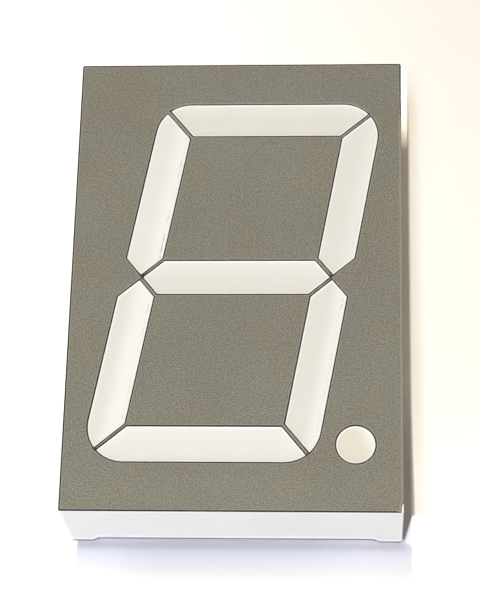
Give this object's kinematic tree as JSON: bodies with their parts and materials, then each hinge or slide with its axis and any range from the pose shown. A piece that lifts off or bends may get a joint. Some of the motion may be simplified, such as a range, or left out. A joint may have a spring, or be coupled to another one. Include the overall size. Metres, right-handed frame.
{
  "type": "seven segment display",
  "caption": "Upright rectangular numeric display with a grey face, milky slanted segments and a decimal point, a white housing on corner feet, and two rows of round solder pins.",
  "frame": {"origin": "middle of the pin field, in the plane of the four feet", "axes": "+Z out of the face, +Y towards the top of the character, +X to the right of a reader"},
  "size_m": [0.0326, 0.0476, 0.0144],
  "materials": {
    "white_moulding": "fine satin moulded white plastic, very lightly sparked",
    "grey_ink": "matt warm grey ink with a fine speckle, chipped at one corner",
    "milky_resin": "cast milky diffusing resin, smooth, with a slight meniscus",
    "glass_epoxy_board": "bare woven glass and epoxy laminate",
    "copper": "etched copper foil under resin",
    "emitter_die": "sawn crystal",
    "gold_wire": "drawn gold",
    "tinned_wire": "bright tinned, drawn lengthwise",
    "solder": "smooth solder with a dull bloom",
    "clear_resin": "self-levelled translucent resin"
  },
  "bodies": {
    "root": {"housing": "white_moulding", "face_film": "grey_ink", "segment_a": "milky_resin", "segment_b": "milky_resin", "segment_c": "milky_resin", "segment_d": "milky_resin", "segment_e": "milky_resin", "segment_f": "milky_resin", "segment_g": "milky_resin", "decimal_point": "milky_resin", "circuit_board": "glass_epoxy_board", "front_copper": "copper", "rear_copper": "copper", "dice_a": "emitter_die", "dice_b": "emitter_die", "dice_c": "emitter_die", "dice_d": "emitter_die", "dice_e": "emitter_die", "dice_f": "emitter_die", "dice_g": "emitter_die", "die_point": "emitter_die", "bond_wires": "gold_wire", "pin_1": "tinned_wire", "pin_2": "tinned_wire", "pin_3": "tinned_wire", "pin_4": "tinned_wire", "pin_5": "tinned_wire", "pin_6": "tinned_wire", "pin_7": "tinned_wire", "pin_8": "tinned_wire", "pin_9": "tinned_wire", "pin_10": "tinned_wire", "solder_joints": "solder", "sealing_resin": "clear_resin"}
  },
  "joints": []
}
